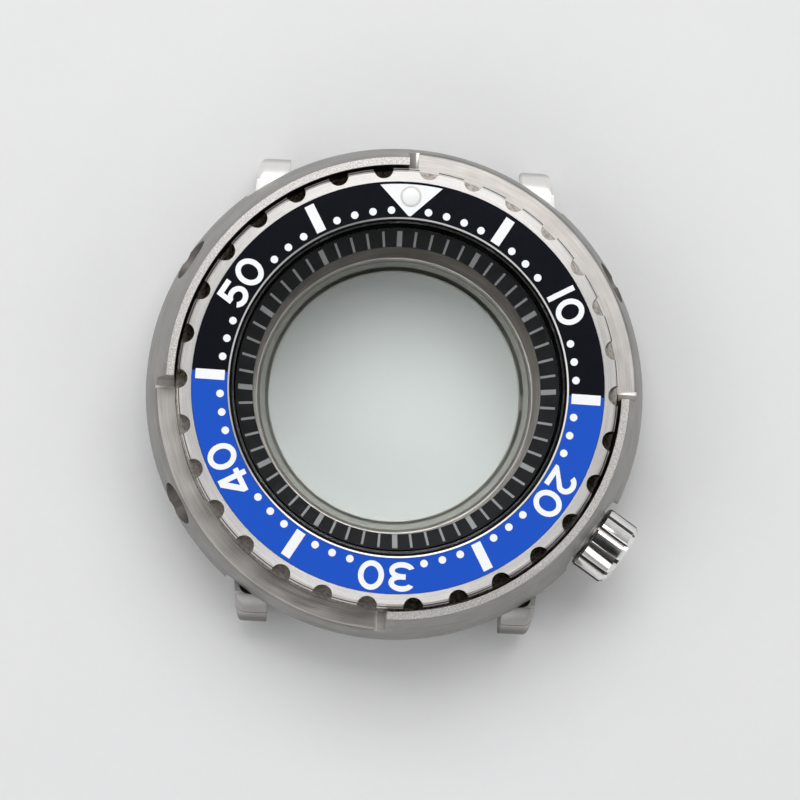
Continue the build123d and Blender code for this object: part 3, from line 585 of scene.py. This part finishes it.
# %% Give the nodes their finishes
WORN = {
    "case_middle": case_steel, "shroud": shroud_steel, "shroud_screws": screw_steel,
    "chapter_ring": chapter_black, "crystal": crystal_glass, "crystal_gasket": black_rubber,
    "bezel_gasket": black_rubber, "bezel_ring": bezel_steel, "bezel_insert": insert_enamel,
    "insert_glue": clear_glue, "pip_cup": cup_steel, "pip_lume": lume_paint,
    "click_spring": spring_steel, "caseback": back_steel, "caseback_glass": back_glass,
    "back_glass_gasket": white_nylon, "caseback_gasket": black_rubber,
    "crown_tube": tube_steel, "crown": crown_steel, "crown_washer": black_rubber,
    "crown_gasket": black_rubber, "crown_post": screw_steel, "crown_spring": spring_steel,
}
for name, material in WORN.items():
    for place in nodes[name].material_slots:
        place.material = material
print("nodes with a finish:", len(WORN), "of", len(nodes))

# %% [markdown]
# ## Broken edges
#
# No machined edge is perfectly sharp: it is broken by a fine file or a tumbler, and that narrow
# slope catches the light as a thin bright line. The solid model keeps the sharp edges, so a
# Bevel modifier breaks them here, after a Weld modifier has joined the points that the import
# left apart.

# %% Break the edges of the metal pieces
EDGES = {"shroud": 0.06, "case_middle": 0.08, "bezel_ring": 0.10, "caseback": 0.06}
WELD_REACH, SHARP_ANGLE = 0.002 * MM, radians(28)


def break_edges(piece, width):
    """Rounds a piece's sharp edges by a width in millimetres."""
    weld = piece.modifiers.new("weld", "WELD")
    weld.merge_threshold = WELD_REACH
    bevel = piece.modifiers.new("broken_edges", "BEVEL")
    bevel.width = width * MM
    bevel.segments = 2
    bevel.limit_method = "ANGLE"
    bevel.angle_limit = SHARP_ANGLE
    bevel.use_clamp_overlap = True
    bevel.harden_normals = True


for name, width in EDGES.items():
    break_edges(nodes[name], width)
print("pieces with broken edges:", len(EDGES))

# %% [markdown]
# ## The print on the insert
#
# On the real ring the marks are printed or filled flush with the enamel. A text object would
# bring a font with its own look, so each numeral is drawn here as a plain outline of lines and
# elliptical arcs, like a stencil, and cut from a closed plate, eighteen thousandths of a
# millimetre thick.

# %% Closed plates from flat outlines
def add_piece(name, points, faces, body, material, slot):
    """A mesh piece, given in millimetres, that rides on a body."""
    mesh = bpy.data.meshes.new(name)
    mesh.from_pydata([Vector(p) * MM for p in points], [], faces)
    work = bmesh.new()
    work.from_mesh(mesh)
    bmesh.ops.recalc_face_normals(work, faces=work.faces)
    work.to_mesh(mesh)
    work.free()
    mesh.materials.append(material)
    piece = bpy.data.objects.new(name, mesh)
    scene.collection.objects.link(piece)
    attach(piece, body)
    return piece


def plates(shapes, lift):
    """Points and faces of closed plates. lift gives a point's heights, low and high."""
    points, faces = [], []
    for outlines in shapes:
        start = len(points)
        flat = [(x, y) for outline in outlines for x, y in outline]
        count = len(flat)
        points += [(x, y, lift(x, y)[1]) for x, y in flat]
        points += [(x, y, lift(x, y)[0]) for x, y in flat]
        for triangle in tessellate_polygon([[Vector((x, y, 0)) for x, y in o] for o in outlines]):
            faces.append([start + i for i in triangle])
            faces.append([start + count + i for i in reversed(triangle)])
        first = start
        for outline in outlines:
            size = len(outline)
            for i in range(size):
                a, b = first + i, first + (i + 1) % size
                faces.append([a, b, b + count, a + count])
            first += size
    return points, faces


# %% Outlines of the numerals, 2.7 mm tall
def arc(centre, radii, start, end, steps=20):
    """Points on an elliptical arc, from one angle to another in degrees."""
    turns = [radians(start + (end - start) * i / steps) for i in range(steps + 1)]
    return [(centre[0] + radii[0] * cos(t), centre[1] + radii[1] * sin(t)) for t in turns]


TOP, STROKE = 1.35, 0.50
HALF = STROKE / 2
print("numerals", 2 * TOP, "mm tall, drawn with a stroke of", STROKE, "mm")


def numeral_outlines():
    """For each digit used, its outline and its holes, with the digit's centre at zero."""
    oval = 1.19
    zero = [arc((0, 0), (oval, TOP), 0, 354, 59),
            arc((0, 0), (oval - STROKE, TOP - STROKE), 0, 354, 59)]
    one = [[(-HALF, -TOP), (HALF, -TOP), (HALF, TOP), (-HALF, TOP)]]
    wide, bowl = 0.98, (0.0, 0.45)
    two = [
        arc(bowl, (wide, TOP - 0.45), 165, -35)
        + [(-0.20, STROKE - TOP), (wide + 0.05, STROKE - TOP), (wide + 0.05, -TOP),
           (-wide - 0.02, -TOP), (-wide - 0.02, 0.30 - TOP)]
        + arc(bowl, (wide - STROKE, TOP - 0.45 - STROKE), -35, 165)
    ]
    rise, broad = 0.55, 1.18
    reach, waist = TOP - rise, 43.4
    three = [
        arc((0, rise), (broad, reach), 160, -waist)
        + arc((0, -rise), (broad, reach), waist, -160)
        + arc((0, -rise), (broad - STROKE, reach - STROKE), -160, 90)
        + [(-0.36, -HALF), (-0.36, HALF)]
        + arc((0, rise), (broad - STROKE, reach - STROKE), -90, 160)
    ]
    bar, stem = -0.36, 0.78
    four = [
        [(stem, TOP), (stem, bar), (1.15, bar), (1.15, bar - STROKE), (stem, bar - STROKE),
         (stem, -TOP), (stem - STROKE, -TOP), (stem - STROKE, bar - STROKE),
         (-1.12, bar - STROKE), (-1.12, bar - 0.04), (0.16, TOP)],
        [(0.28, 0.56), (0.28, bar), (-0.42, bar)],
    ]
    low, round_reach = -0.42, TOP - 0.42
    five = [
        [(-0.86, TOP), (0.82, TOP), (0.82, TOP - STROKE), (-0.42, TOP - STROKE)]
        + arc((0, low), (1.02, round_reach), 116, -152)
        + arc((0, low), (1.02 - STROKE, round_reach - STROKE), -152, 152)
        + [(-0.96, low + 0.24)]
    ]
    return {"0": zero, "1": one, "2": two, "3": three, "4": four, "5": five}


# %% Set the numerals round the ring
PRINT_RADIUS = 17.3
PRINT_LOW, PRINT_HIGH = 5.276, 5.294
outlines_of = numeral_outlines()


def clock_angle(minute):
    """The angle of a minute on the bezel, in degrees from +X."""
    return 90 + BEZEL_TURN - 6 * minute


def set_round(outline, angle, radius):
    """Moves an outline to a place on the ring, with its top outwards."""
    out = Vector((cos(radians(angle)), sin(radians(angle))))
    side = Vector((out.y, -out.x))
    return [tuple(out * (radius + y) + side * x) for x, y in outline]


def leaned(outline, turn):
    """An outline turned about its own centre, so that both digits of a number stand parallel."""
    c, s = cos(radians(turn)), sin(radians(turn))
    return [(x * c - y * s, x * s + y * c) for x, y in outline]


# For each digit: its turn from the mark in degrees, and how far outwards it stands
SPREAD = {
    "10": ((3.8, 0.0), (-2.4, 0.0)),
    "20": ((3.91, 0.06), (-4.14, 0.05)),
    "30": ((4.76, 0.10), (-4.52, 0.11)),
    "40": ((4.21, 0.075), (-4.56, 0.065)),
    "50": ((4.37, 0.015), (-3.91, -0.02)),
}


def flat_print(x, y):
    """The low and high face of the print, which is as thick everywhere."""
    return PRINT_LOW, PRINT_HIGH


numerals = []
for text, places in SPREAD.items():
    for digit, (turn, outwards) in zip(text, places):
        angle = clock_angle(int(text)) + turn
        upright = [leaned(o, -turn) for o in outlines_of[digit]]
        numerals.append([set_round(o, angle, PRINT_RADIUS + outwards) for o in upright])
add_piece("numerals", *plates(numerals, flat_print), "bezel", white_print, "insert_print")
print("numerals cut:", len(numerals))

# %% [markdown]
# The bars stand at the odd fives, a row of dots marks the minutes between, and a triangle marks
# twelve. The triangle's outer side follows the ring, and it has a hole where the pip comes up.
# Every mark could be drawn where it stands, but one bar and one dot, set round to each minute,
# are shorter to write and land exactly where they should.

# %% Bars, dots and the triangle
BAR_LENGTH, BAR_WIDTH = 2.68, 0.92
DOT_RADIUS, DOT_PLACE = 0.35, 16.35
PIP_PLACE, PIP_RADIUS = 17.65, 0.95
TRIANGLE_OUTER, TRIANGLE_SPREAD, TRIANGLE_TIP, TIP_HALF = 18.78, 8.85, 15.82, 0.10
BARRED, NUMBERED = (5, 15, 25, 35, 45, 55), (10, 20, 30, 40, 50)
beside_a_number = [minute + step for minute in NUMBERED for step in (-1, 1)]
DOTTED = [m for m in range(60) if m % 5 and m not in beside_a_number]
bar = [(-BAR_WIDTH / 2, -BAR_LENGTH / 2), (BAR_WIDTH / 2, -BAR_LENGTH / 2),
       (BAR_WIDTH / 2, BAR_LENGTH / 2), (-BAR_WIDTH / 2, BAR_LENGTH / 2)]
dot = arc((0, 0), (DOT_RADIUS, DOT_RADIUS), 0, 345, 23)
bars = [[set_round(bar, clock_angle(m), PRINT_RADIUS)] for m in BARRED]
dots = [[set_round(dot, clock_angle(m), DOT_PLACE)] for m in DOTTED]

noon = clock_angle(0)
outer_side = arc(
    (0, 0), (TRIANGLE_OUTER, TRIANGLE_OUTER), noon - TRIANGLE_SPREAD, noon + TRIANGLE_SPREAD, 24)
apex = set_round([(TIP_HALF, 0), (-TIP_HALF, 0)], noon, TRIANGLE_TIP)
pip_hole = set_round(arc((0, 0), (PIP_RADIUS, PIP_RADIUS), 0, 352.5, 47), noon, PIP_PLACE)
triangle = [[outer_side + list(reversed(apex)), pip_hole]]
add_piece("minute_bars", *plates(bars, flat_print), "bezel", white_print, "insert_print")
add_piece("minute_dots", *plates(dots, flat_print), "bezel", white_print, "insert_print")
add_piece("noon_triangle", *plates(triangle, flat_print), "bezel", white_print, "insert_print")
print("bars", len(bars), "dots", len(dots))

# %% [markdown]
# ## The bezel's inner lip
#
# Inside the insert the bezel ends in a thin lip that slopes down to the crystal and is polished
# brighter than the land. A paler band in the bezel's finish would stay flat under the light, so
# the lip is a closed ring of three sides, turned round the axis.

# %% Lip ring
def turned(outline, steps):
    """Points and faces of a closed ring with an outline of radius and height pairs."""
    points, faces, size = [], [], len(outline)
    for i in range(steps):
        turn = 2 * pi * i / steps
        points += [(r * cos(turn), r * sin(turn), z) for r, z in outline]
        for j in range(size):
            a, b = i * size + j, i * size + (j + 1) % size
            shift = ((i + 1) % steps - i) * size
            faces.append([a, b, b + shift, a + shift])
    return points, faces


LIP_OUTER, LIP_LOW, LIP_HIGH, LIP_STEPS = 15.68, 5.302, 5.37, 180
LIP = [(LIP_INNER, LIP_LOW), (LIP_OUTER, LIP_LOW), (LIP_OUTER, LIP_HIGH)]
lip_steel = polished("lip_steel", (0.62, 0.61, 0.60), 0.30)
add_piece("bezel_lip", *turned(LIP, LIP_STEPS), "bezel", lip_steel, "case_steel")
print("lip ring sides:", LIP_STEPS)

# %% [markdown]
# ## Rounded lug ends
#
# A lug's end is linished on a soft belt, so its top rolls down to the tip without an edge. The
# solid lug is slanted and flat there. A Bevel modifier would round its edges but leave the slant,
# so a closed cover is lofted over each end, through sections from the shoulder to the tip. It
# stays clear of the spring bar's hole. At twelve o'clock it also closes the shallow pocket, which
# doesn't show on that side.

# %% Sections of a lug's end
# For each section: its place along Y, its top, its outer side, its inner side and its low edge
LUG_SECTIONS = [
    (18.40, -2.26, 14.07, 10.98, -3.10), (19.20, -2.27, 14.07, 10.98, -3.60),
    (19.60, -2.31, 14.07, 10.98, -4.60), (20.00, -2.42, 14.04, 10.98, -5.10),
    (20.40, -2.60, 13.99, 10.98, -5.10), (20.80, -2.87, 13.93, 10.98, -5.60),
    (21.20, -3.25, 13.85, 10.98, -6.60), (21.50, -3.65, 13.77, 10.98, -6.95),
    (21.75, -4.15, 13.68, 10.98, -7.00), (21.95, -4.90, 13.56, 10.99, -6.95),
    (22.05, -5.80, 13.42, 11.05, -6.80),
]
# Where the covers start at twelve and at six o'clock
LUG_START = {1: 18.40, -1: 19.58}
BETWEEN, CORNER_STEPS = 4, 6
LOW_CORNER, INNER_CORNER = 0.08, 0.2
CORNER_START, CORNER_GROWTH, CORNER_MOST, CORNER_FROM = 0.38, 0.3, 0.9, 19.6


def eased(a, b, c, d, t):
    """A point on a smooth curve from b to c, steered by their neighbours."""
    return b + 0.5 * t * (c - a + t * (2 * a - 5 * b + 4 * c - d + t * (3 * (b - c) + d - a)))


def lug_stations():
    """The sections, and smooth ones in between."""
    rows = [LUG_SECTIONS[0], *LUG_SECTIONS, LUG_SECTIONS[-1]]
    for i in range(len(LUG_SECTIONS) - 1):
        for j in range(BETWEEN):
            yield [eased(*column, j / BETWEEN) for column in zip(*rows[i:i + 4])]
    yield list(LUG_SECTIONS[-1])


print("sections of a cover at twelve:", len(list(lug_stations())))


# %% A closed shell through the sections
def lug_cover(side, end):
    """Points and faces of one cover. side is 1 at three o'clock, end is 1 at twelve."""
    points, faces = [], []
    stations = [station for station in lug_stations() if station[0] >= LUG_START[end] - 0.001]
    for place, top, outer, inner, low in stations:
        curve = min(CORNER_START + CORNER_GROWTH * max(0.0, place - CORNER_FROM), CORNER_MOST)
        inner_centre = (inner + INNER_CORNER, top - INNER_CORNER)
        section = [(inner, low), (outer - LOW_CORNER, low), (outer, low + LOW_CORNER)]
        section += arc((outer - curve, top - curve), (curve, curve), 0, 90, CORNER_STEPS)
        section += arc(inner_centre, (INNER_CORNER, INNER_CORNER), 90, 180, CORNER_STEPS)
        points += [(side * x, end * place, z) for x, z in section]
    size = len(section)
    for i in range(len(stations) - 1):
        for j in range(size):
            a, b = i * size + j, i * size + (j + 1) % size
            faces.append([a, b, b + size, a + size])
    faces.append(list(range(size)))
    faces.append([(len(stations) - 1) * size + j for j in range(size)])
    return points, faces


# %% Covers on all four lugs
cover_points, cover_faces = [], []
for side, end in ((1, 1), (-1, 1), (1, -1), (-1, -1)):
    points, faces = lug_cover(side, end)
    start = len(cover_points)
    cover_points += points
    cover_faces += [[start + i for i in face] for face in faces]
SHARP_COVER_ANGLE = radians(40)
covers = add_piece("lug_covers", cover_points, cover_faces, "case", case_steel, "case_steel")
covers.data.shade_smooth()
covers.data.set_sharp_from_angle(angle=SHARP_COVER_ANGLE)
print("lug covers: points", len(cover_points))

# %% [markdown]
# ## The crown
#
# A screwed-down crown stops wherever its thread ends, so its grooves stand at no fixed place.
# Here a land looks straight up, half a groove away from the solid model's. The solid crown stays
# as it is, because the joints and the clearances were worked out with it, and the visible cap is
# the same shape, turned about the crown's own axis.

# %% Crown turned half a groove
CROWN_TURN, CROWN_EDGE = radians(15), 0.09
crown_place = Matrix.Translation((0, 0, CROWN_HEIGHT * MM))
about_axis = crown_place @ Matrix.Rotation(CROWN_TURN, 4, crown_out) @ crown_place.inverted()
cap_mesh = nodes["crown"].data.copy()
cap_mesh.transform(nodes["crown"].matrix_world)
cap_mesh.transform(about_axis)
crown_cap = bpy.data.objects.new("crown_cap", cap_mesh)
scene.collection.objects.link(crown_cap)
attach(crown_cap, "crown")
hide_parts("crown")
break_edges(crown_cap, CROWN_EDGE)
print("crown turned by", round(180 * CROWN_TURN / pi, 1), "degrees")

# %% [markdown]
# ## Marks on the chapter ring
#
# The black cone under the crystal carries sixty grey marks, printed straight on the slope. A mask
# in the ring's finish could draw them, but their ends would blur, so each one is a thin plate
# whose height follows the cone. They are turned two degrees back from the case, as on the real
# one, where nothing keys the ring to the case.

# %% Chapter marks
CHAPTER_TURN = 2.0
CONE_INNER, CONE_OUTER = 13.4, 15.0
CONE_LOW, CONE_HIGH = 0.35, 1.85
MARK_SUNK, MARK_PROUD = 0.008, 0.014
MARK_INNER, MARK_OUTER = 13.42, 14.72
BROAD_HALF, NARROW_HALF = 0.24, 0.11


def on_cone(x, y):
    """The low and high face of a mark, which follow the cone's slope."""
    outwards = sqrt(x * x + y * y) - CONE_INNER
    rise = outwards * (CONE_HIGH - CONE_LOW) / (CONE_OUTER - CONE_INNER)
    return CONE_LOW + rise - MARK_SUNK, CONE_LOW + rise + MARK_PROUD


marks = []
for minute in range(60):
    half = NARROW_HALF if minute % 5 else BROAD_HALF
    outline = [(-half, MARK_INNER), (half, MARK_INNER), (half, MARK_OUTER), (-half, MARK_OUTER)]
    marks.append([set_round(outline, 90 + CHAPTER_TURN - 6 * minute, 0.0)])
add_piece("chapter_marks", *plates(marks, on_cone), "case", chapter_print, "chapter_black")
print("chapter marks:", len(marks))

# %% [markdown]
# ## Floor and light
#
# A pale floor lies at the height of the back's flat face. The steel is a mirror of the room. A
# photographed room could light it, but then no lamp could be moved or dimmed by itself, so the
# room is made of large soft boxes: a dim patch round the camera keeps the enamel deep black, and
# the boxes stand lower, brightest beyond twelve o'clock.

# %% Floor
FLOOR_HALF = 1
floor_height = bounds_before[0][2]
floor_mesh = bpy.data.meshes.new("floor")
corners = [(-FLOOR_HALF, -FLOOR_HALF), (FLOOR_HALF, -FLOOR_HALF),
           (FLOOR_HALF, FLOOR_HALF), (-FLOOR_HALF, FLOOR_HALF)]
floor_mesh.from_pydata([(x, y, floor_height) for x, y in corners], [], [(0, 1, 2, 3)])
floor = bpy.data.objects.new("floor", floor_mesh)
scene.collection.objects.link(floor)
floor_mesh.materials.append(grained("floor_card", (0.78, 0.78, 0.785), 0.02, 0.80, 1.5, 0.02))
print("floor at", round(floor_height / MM, 2), "mm")

# %% World: pale near the floor, dark overhead and a little towards half past six
DARK_LEAN, DARK_CLOCK = radians(10), radians(197)
DARK_EDGE, OPEN_EDGE = cos(radians(18)), cos(radians(36))
LOW_EDGE, FLOOR_EDGE = cos(radians(62)), cos(radians(84))
OPEN_LIGHT, LOW_LIGHT, LEAST_LIGHT = 0.34, 0.30, 0.02

world = bpy.data.worlds.new("studio")
scene.world = world
world.use_nodes = True
sky = Network(world.node_tree)
background = sky.tree.nodes["Background"]
background.inputs["Color"].default_value = (0.98, 0.99, 1.0, 1)
dark_way = (sin(DARK_LEAN) * sin(DARK_CLOCK), sin(DARK_LEAN) * cos(DARK_CLOCK), cos(DARK_LEAN))
way = sky.node("ShaderNodeTexCoord", output="Generated")
nearness = sky.node(
    "ShaderNodeVectorMath", {"operation": "DOT_PRODUCT"}, {0: way, 1: dark_way}, "Value")
open_sky = ((DARK_EDGE - nearness) / (DARK_EDGE - OPEN_EDGE)).held()
low_sky = ((LOW_EDGE - nearness) / (LOW_EDGE - FLOOR_EDGE)).held()
strength = open_sky * OPEN_LIGHT + low_sky * LOW_LIGHT + LEAST_LIGHT
plug(sky.tree, background.inputs["Strength"], strength)
scene.view_settings.view_transform = "Standard"
print("the sky is darkest at", [round(part, 2) for part in dark_way])

# %% Soft boxes
BOX_DISTANCE = 0.6


def soft_box(name, azimuth, elevation, width, height, radiance):
    """A lamp that faces the case. Azimuth 0 is beyond twelve o'clock, 90 beyond three."""
    lamp = bpy.data.lights.new(name, "AREA")
    lamp.shape = "RECTANGLE"
    lamp.size, lamp.size_y = width, height
    lamp.energy = radiance * pi * width * height
    piece = bpy.data.objects.new(name, lamp)
    a, e = radians(azimuth), radians(elevation)
    way = Vector((sin(a) * cos(e), cos(a) * cos(e), sin(e)))
    piece.location = way * BOX_DISTANCE
    piece.rotation_euler = way.to_track_quat("Z", "Y").to_euler()
    scene.collection.objects.link(piece)


soft_box("box_noon", 4, 56, 0.60, 0.34, 3.5)
soft_box("box_left", -84, 44, 0.50, 0.30, 1.42)
soft_box("box_right", 100, 44, 0.50, 0.30, 0.8)
soft_box("box_near", 205, 42, 0.60, 0.26, 1.3)
print("lamps:", len(bpy.data.lights))
